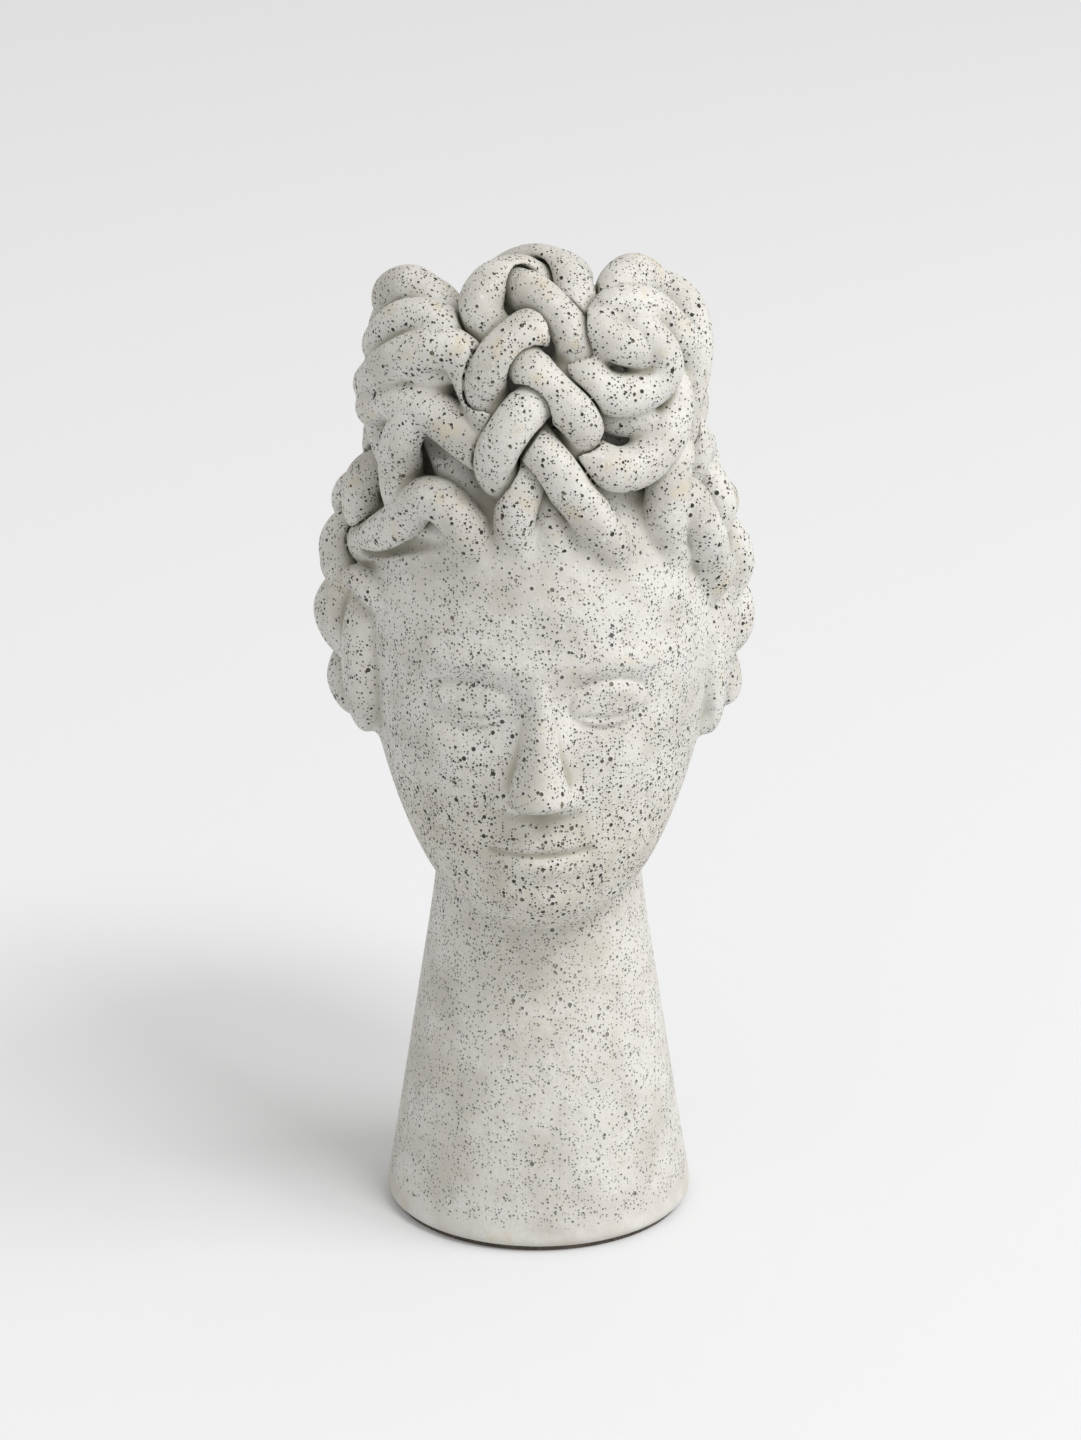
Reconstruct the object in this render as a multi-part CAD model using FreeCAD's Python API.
import FreeCAD, Part
import math
import os

# Hand-built stoneware head on a flared neck, with hair of braided clay coils.
# Frame: millimetres, +Z up, origin at the centre of the foot, face towards -Y.
# Every coil is a separate roll of clay, pressed on to what was laid before it:
# a coil keeps its full round only where nothing earlier is in its way.

Vec = FreeCAD.Vector

# ---------------------------------------------------------------- driving dimensions
FOOT_HEIGHT = 1.8          # bare clay ring that the piece stands on
FOOT_RADIUS = 54.5
FOOT_INNER_RADIUS = 44.0

NECK_PROFILE = [(57.5, 6), (51.2, 45), (44.6, 88), (39.0, 126), (36.0, 172)]   # radius, height
NECK_BASE_ROUND = 3.0
ROUND_DEPTH = 0.29         # how far the middle of a quarter round lies from its corner, in radii
NECK_WALL = 8.0

HEAD_WALL = 8.0            # thickness of the hollow head
# The egg-shaped head as level ellipses: height, centre y, half width, half depth.
HEAD_LEVELS = [
    (129.5, -36, 12, 12), (134, -32, 26, 26), (145, -25, 39, 39), (160, -18, 48, 50),
    (180, -10, 56, 59), (205, -4, 62, 66), (232, -1, 65, 69), (258, 0, 62, 67),
    (280, 1, 54, 62), (298, 2, 47, 53), (315, 2, 43, 47), (330, 3, 38, 39),
    (341, 4, 26, 26), (346, 4, 10, 10),
]
HOLLOW_LEVELS = HEAD_LEVELS[2:-3]     # the levels that the hollow follows

NOSE_HEIGHT = 190.0        # plain ridge between the brow and the tip
NOSE_LENGTH = 36.0
NOSE_RADIUS = 5.0

EAR_HEIGHT = 228.0
EAR_RIM_RADIUS = 5.0
LEFT_EAR_AZIMUTH = -76.0   # the head is turned a little towards +X
RIGHT_EAR_AZIMUTH = 86.0
LEFT_EAR_STAND = 8.5       # how far the rim of an ear stands out of the head
RIGHT_EAR_STAND = 5.0

COIL_RADIUS = 8.2          # a coil of clay rolled between the hands
STATION_STEP = 9.0         # spacing of the cross-sections along a coil
BRAID_RADIUS = 7.7         # coils of the plaits on the sides and back
BRAID_SWING = 9.5          # how far a strand swings to each side of its plait
BRAID_DEPTH = 5.8          # how far it rises over and dips under the others
BRAID_PITCH = 84.0         # length of one full turn of a strand
BRAID_GATHER = 0.6         # how far a plait is drawn together where it starts
BRAID_GATHER_LENGTH = 40.0
BRAID_CENTRE = (0, 0, 250) # the strands of a plait rise and dip along lines from this point
SEAM_DIRECTION = (0.31, 0.17, 0.93)       # no coil starts along this direction
CONTACT_GAP = 2.4          # in coil radii: coils further apart than this can't touch
CRUMB_VOLUME = 400.0       # mm3, smaller offcuts are smoothed away by hand

# ends of a coil: (distance past its end, share of its radius), both in coil radii
ROUNDED_END = [(0, 1), (0.35, 0.8), (0.62, 0.45)]
FLAP_RADII = (5.5, 11, 19) # thickness, width and height of an ear's flap, as radii
FLAP_TURN = 18.0           # degrees that the flap opens towards the face

# ---------------------------------------------------------------- curves and solids


def unit(v):
    return Vec(v).normalize()


def smooth_line(points, count):
    """count points evenly spaced along the smooth curve through points, and its length"""
    curve = Part.BSplineCurve()
    curve.interpolate([Vec(*p) for p in points])
    return [Vec(p) for p in curve.discretize(Number=count)], curve.length()


def stations(length):
    return max(5, int(round(length / STATION_STEP)))


def heading_at(line, i):
    """direction of travel of a line of points at its point i"""
    return unit(line[min(i + 1, len(line) - 1)] - line[max(i - 1, 0)])


def ring(centre, axis, seam, radius):
    """a circle whose seam lies in the direction seam"""
    circle = Part.Circle(centre, axis, radius)
    circle.XAxis = seam
    return Part.Wire(circle.toShape())


def rolled_coil(line, radius):
    """a round coil of clay along a line of points, with rounded ends"""
    last = len(line) - 1
    seam = Vec(*SEAM_DIRECTION)
    wires = []
    for i, spot in enumerate(line):
        heading = heading_at(line, i)
        seam = unit(seam - heading * seam.dot(heading))
        rings = [(0, 1)]
        if i == 0:
            rings = [(-past, share) for past, share in reversed(ROUNDED_END)]
        if i == last:
            rings = ROUNDED_END
        for shift, share in rings:
            wires.append(ring(spot + heading * radius * shift, heading, seam, radius * share))
    return Part.makeLoft(wires, True, False, False)


def single_coil(points, radius=COIL_RADIUS):
    """one coil laid through a few hand-chosen points: its line and its solid"""
    length = smooth_line(points, 8)[1]
    line = smooth_line(points, stations(length))[0]
    return line, rolled_coil(line, radius)


def plait(points, phase):
    """three strands plaited along points, whose outward side faces away from the head"""
    length = smooth_line(points, 8)[1]
    centres = smooth_line(points, stations(length))[0]
    core = Vec(*BRAID_CENTRE)
    strands = []
    for k in range(3):
        line = []
        for i, centre in enumerate(centres):
            heading = heading_at(centres, i)
            outward = centre - core
            outward = unit(outward - heading * outward.dot(heading))
            sideways = heading.cross(outward)
            travelled = length * i / (len(centres) - 1)
            turn = 2 * math.pi * (travelled / BRAID_PITCH + k / 3) + math.radians(phase)
            gather = min(1, BRAID_GATHER + (1 - BRAID_GATHER) * travelled / BRAID_GATHER_LENGTH)
            line.append(centre + sideways * BRAID_SWING * gather * math.sin(turn)
                        + outward * BRAID_DEPTH * math.sin(2 * turn))
        strands.append((line, rolled_coil(line, BRAID_RADIUS)))
    return strands


# ---------------------------------------------------------------- the head

def level_at(height):
    """centre y, half width and half depth of the head at a height"""
    for low, high in zip(HEAD_LEVELS, HEAD_LEVELS[1:]):
        if height <= high[0]:
            t = (height - low[0]) / (high[0] - low[0])
            return [a + (b - a) * t for a, b in zip(low[1:], high[1:])]
    return HEAD_LEVELS[-1][1:]


def on_head(azimuth, height, lift):
    """point lift outside the head; azimuth 0 is the face and 90 is +X"""
    centre_y, half_width, half_depth = level_at(height)
    a = math.radians(azimuth)
    reach = 1 / math.hypot(math.sin(a) / half_width, math.cos(a) / half_depth) + lift
    return (reach * math.sin(a), centre_y - reach * math.cos(a), height)


def level_wire(height, centre_y, half_width, half_depth):
    """a level ellipse as one periodic curve"""
    steps = 16
    points = []
    for i in range(steps):
        a = 2 * math.pi * i / steps
        points.append(Vec(half_width * math.sin(a), centre_y + half_depth * math.cos(a), height))
    curve = Part.BSplineCurve()
    curve.interpolate(points, PeriodicFlag=True)
    return Part.Wire(curve.toShape())


def egg(levels, inset):
    """the head, or its hollow, as one smooth solid through level ellipses"""
    wires = []
    for height, centre_y, half_width, half_depth in levels:
        wires.append(level_wire(height, centre_y, half_width - inset, half_depth - inset))
    return Part.makeLoft(wires, True, False, False)


def nose():
    """a plain ridge that widens downwards, with a rounded tip"""
    top = on_head(0, NOSE_HEIGHT + NOSE_LENGTH, -4)
    middle = on_head(0, NOSE_HEIGHT + NOSE_LENGTH / 2, -1)
    tip = on_head(0, NOSE_HEIGHT, 2)
    return single_coil([top, middle, tip], NOSE_RADIUS)[1]


def ear(azimuth, side, stand):
    """a rolled rim that leaves the temple, stands out and runs down into the jaw, with a
    filled flap behind it; side is -1 or +1"""
    rim = [(14, 19, -0.1), (5, 23, 0.5), (-5, 19, 0.8), (-9, 7, 1), (-7, -8, 0.8),
           (-3, -22, 0.4), (1, -35, 0)]       # degrees towards the face, up, share of the stand
    points = []
    for turn, up, share in rim:
        points.append(on_head(azimuth - side * turn, EAR_HEIGHT + up, share * stand))
    helix = single_coil(points, EAR_RIM_RADIUS)[1]
    bowl = Part.makeSphere(1)
    spread = FreeCAD.Matrix()
    spread.scale(*FLAP_RADII)
    bowl = bowl.transformGeometry(spread)
    bowl.rotate(Vec(0, 0, 0), Vec(0, 0, 1), azimuth - side * (90 - FLAP_TURN))
    bowl.translate(Vec(*on_head(azimuth + side * 2, EAR_HEIGHT - 1, 2)))
    return helix.fuse(bowl).removeSplitter()


# ---------------------------------------------------------------- neck and foot

def neck_solid(inset):
    """the flared neck as a filled turned solid, inset from its outer face"""
    base = FOOT_HEIGHT
    side = Part.BSplineCurve()
    side.interpolate([Vec(radius - inset, 0, height) for radius, height in NECK_PROFILE])
    side = side.toShape()
    low = Vec(NECK_PROFILE[0][0] - inset, 0, NECK_PROFILE[0][1])
    high = Vec(NECK_PROFILE[-1][0] - inset, 0, NECK_PROFILE[-1][1])
    toe = Vec(low.x - NECK_BASE_ROUND, 0, base)
    bend = Vec(low.x - ROUND_DEPTH * NECK_BASE_ROUND, 0, base + ROUND_DEPTH * NECK_BASE_ROUND)
    axis_top = Vec(0, 0, high.z)
    axis_base = Vec(0, 0, base)
    outline = Part.Wire([side, Part.makeLine(high, axis_top), Part.makeLine(axis_top, axis_base),
                         Part.makeLine(axis_base, toe), Part.Arc(toe, bend, low).toShape()])
    return Part.Face(outline).revolve(Vec(0, 0, 0), Vec(0, 0, 1), 360)


def foot_ring():
    outer = Part.makeCylinder(FOOT_RADIUS, FOOT_HEIGHT)
    return outer.cut(Part.makeCylinder(FOOT_INNER_RADIUS, FOOT_HEIGHT))


# ---------------------------------------------------------------- the hair, coil by coil

def centre_braid():
    """three strands plaited from the middle of the hairline up and over the crown"""
    return [
        ("centre_braid_1", single_coil([
            (6, -46, 268), (5, -56, 279), (1, -54, 290), (-10, -55, 298), (-15, -62, 309),
            (-11, -65, 318), (-3, -62, 328), (7, -52, 333), (13, -49, 341), (12, -50, 351),
            (6, -47, 359), (-2, -40, 363), (-10, -30, 362), (-13, -18, 357), (-8, -6, 359),
            (3, 2, 362), (11, 12, 357), (10, 24, 349), (3, 35, 340), (-5, 43, 328)])),
        ("centre_braid_2", single_coil([
            (-9, -47, 268), (-8, -58, 282), (-5, -60, 299), (4, -54, 308), (14, -55, 315),
            (13, -60, 324), (4, -61, 333), (-5, -55, 342), (-14, -45, 348), (-20, -43, 356),
            (-17, -38, 364), (-7, -30, 366), (2, -20, 362), (10, -10, 357), (11, 2, 357),
            (2, 12, 360), (-8, 22, 352), (-11, 32, 342), (-5, 42, 334), (4, 47, 322)])),
        ("centre_braid_3", single_coil([
            (28, -44, 266), (22, -56, 280), (13, -61, 295), (3, -63, 309), (-8, -55, 319),
            (-17, -53, 327), (-18, -56, 337), (-10, -56, 348), (0, -50, 354), (9, -42, 357),
            (13, -32, 361), (8, -22, 367), (-3, -14, 366), (-12, -4, 359), (-12, 6, 356),
            (-3, 16, 356), (6, 26, 350), (10, 36, 339), (9, 44, 327)])),
    ]


def left_knot():
    """coils wound into a bun over the left temple, -X"""
    return [
        ("left_hairline_coil", single_coil([
            (-62, -8, 262), (-54, -27, 271), (-45, -41, 281), (-36, -50, 288),
            (-28, -56, 284), (-22, -53, 272)])),
        ("left_valley_coil", single_coil([
            (-22, -50, 270), (-25, -54, 284), (-30, -50, 299), (-35, -40, 313)])),
        ("left_knot_root", single_coil([
            (-46, -35, 284), (-49, -37, 298), (-47, -42, 311), (-41, -44, 323), (-36, -38, 333)])),
        ("left_knot_sweep", single_coil([
            (-57, -14, 314), (-55, -28, 320), (-47, -40, 324), (-37, -48, 322),
            (-28, -52, 316), (-20, -54, 310), (-11, -50, 303)])),
        ("left_knot_front", single_coil([
            (-58, -16, 322), (-55, -30, 331), (-46, -43, 341), (-36, -48, 346), (-27, -50, 344),
            (-22, -52, 335), (-18, -54, 325), (-16, -50, 314)])),
        ("left_knot_outer", single_coil([
            (-46, 12, 348), (-52, 2, 343), (-54, -8, 332), (-54, -16, 318), (-53, -20, 307),
            (-48, -24, 297)])),
        ("left_knot_upper", single_coil([
            (-53, 4, 330), (-55, -12, 336), (-52, -26, 345), (-45, -34, 353), (-37, -39, 354),
            (-30, -41, 347), (-27, -40, 336)])),
        ("left_knot_top", single_coil([
            (-44, 12, 338), (-51, 0, 348), (-50, -12, 357), (-44, -20, 361), (-37, -25, 356),
            (-33, -28, 345)])),
        ("left_knot_back", single_coil([
            (-50, 26, 326), (-47, 20, 339), (-42, 12, 348), (-36, 5, 348), (-31, 3, 340),
            (-28, 6, 330)])),
    ]


def right_knot():
    """coils wound into a bun over the right temple, +X"""
    return [
        ("right_hairline_coil", single_coil([
            (47, -28, 262), (45, -39, 276), (46, -41, 292), (47, -33, 306)])),
        ("right_temple_coil", single_coil([
            (50, -34, 288), (57, -32, 277), (61, -25, 264), (62, -16, 250)])),
        ("right_knot_sweep", single_coil([
            (43, -30, 332), (47, -36, 319), (43, -44, 309), (35, -50, 303), (26, -55, 303),
            (17, -55, 308), (9, -50, 315)])),
        ("right_knot_ring", single_coil([
            (28, -38, 352), (36, -44, 352), (42, -43, 345), (43, -42, 336), (37, -46, 330),
            (28, -51, 329), (20, -53, 333), (13, -50, 342)])),
        ("right_knot_heart", single_coil([
            (18, -48, 353), (25, -51, 350), (33, -47, 346), (37, -38, 340)])),
        ("right_knot_front", single_coil([
            (16, -38, 340), (20, -43, 350), (28, -41, 358), (38, -36, 359), (47, -30, 350),
            (52, -23, 337), (50, -20, 325)])),
        ("right_knot_outer", single_coil([
            (34, 8, 350), (42, 0, 356), (49, -6, 356), (54, -11, 346), (54, -16, 332),
            (51, -20, 318), (48, -24, 306)])),
        ("right_knot_top", single_coil([
            (26, -26, 344), (26, -28, 355), (31, -21, 364), (38, -11, 363), (43, 2, 354),
            (46, 14, 342)])),
        ("right_knot_back", single_coil([
            (28, -4, 342), (31, 5, 350), (36, 13, 351), (41, 21, 344), (45, 25, 331)])),
    ]


def side_and_back_plaits():
    """plaits that hang from the crown down the sides and the back of the head"""
    # (height, lift) down each plait's length
    right_side = [(316, 5), (300, 4), (284, 3), (266, 3), (246, 4), (228, 4), (212, 4), (197, 4)]
    left_side = [(318, 4), (302, 3), (286, 5), (268, 6), (246, 5), (228, 5), (212, 4), (197, 3)]
    back = [(338, 13), (322, 10), (304, 7), (284, 7), (258, 8), (234, 7), (212, 7), (197, 6)]
    nape = [(329, 9), (316, 9), (304, 8), (284, 8), (258, 7), (234, 6), (212, 6), (197, 5)]
    plaits = {            # its fall, azimuth at the top and at the end, phase
        "right_side_plait": (right_side, 66, 112, 105),
        "left_side_plait": (left_side, -66, -104, 60),
        "right_back_plait": (back, 110, 138, 20),
        "left_back_plait": (back, -108, -136, 140),
        "right_nape_plait": (nape, 158, 165, 250),
        "left_nape_plait": (nape, -158, -165, 10),
    }
    coils = []
    for name, (fall, azimuth_high, azimuth_low, phase) in plaits.items():
        points = []
        for i, (height, lift) in enumerate(fall):
            share = math.sin(math.pi / 2 * i / (len(fall) - 1))
            azimuth = azimuth_high + (azimuth_low - azimuth_high) * share
            points.append(on_head(azimuth, height, lift))
        for k, strand in enumerate(plait(points, phase)):
            coils.append((name + "_" + str(k + 1), strand))
    return coils


def hair():
    return centre_braid() + left_knot() + right_knot() + side_and_back_plaits()


# ---------------------------------------------------------------- assembly

def may_touch(line, other):
    reach = CONTACT_GAP * COIL_RADIUS
    return any((p - q).Length < reach for p in line for q in other)


def pressed_on(coils, body_parts):
    """cut each coil back by the body and by every coil laid before it"""
    laid = []
    pieces = {}
    for name, (line, solid) in coils:
        piece = solid
        for part in body_parts:
            if part.BoundBox.intersect(piece.BoundBox):
                piece = piece.cut(part)
        for other_line, other in laid:
            if may_touch(line, other_line):
                piece = piece.cut(other)
        laid.append((line, solid))
        kept = [s for s in piece.Solids if s.Volume > CRUMB_VOLUME]
        pieces[name] = kept[0] if len(kept) == 1 else Part.makeCompound(kept)
    return pieces


def main():
    neck_outer = neck_solid(0)
    neck_bore = neck_solid(NECK_WALL)
    neck = neck_outer.cut(neck_bore)
    full_head = egg(HEAD_LEVELS, 0).fuse(nose())
    hollow = egg(HOLLOW_LEVELS, HEAD_WALL)
    head = full_head.cut(hollow).cut(neck_outer)
    ears = {
        "left_ear": ear(LEFT_EAR_AZIMUTH, -1, LEFT_EAR_STAND).cut(full_head),
        "right_ear": ear(RIGHT_EAR_AZIMUTH, 1, RIGHT_EAR_STAND).cut(full_head),
    }
    nodes = {"foot_ring": foot_ring(), "neck": neck, "head": head}
    nodes.update(ears)
    nodes.update(pressed_on(hair(), [full_head, neck_outer] + list(ears.values())))
    os.makedirs("parts", exist_ok=True)
    for name, shape in nodes.items():
        print(name, len(shape.Solids), round(shape.Volume / 1000, 2), "cm3", shape.isValid())
        shape.exportStep("parts/" + name + ".step")


if __name__ == "__main__":
    main()
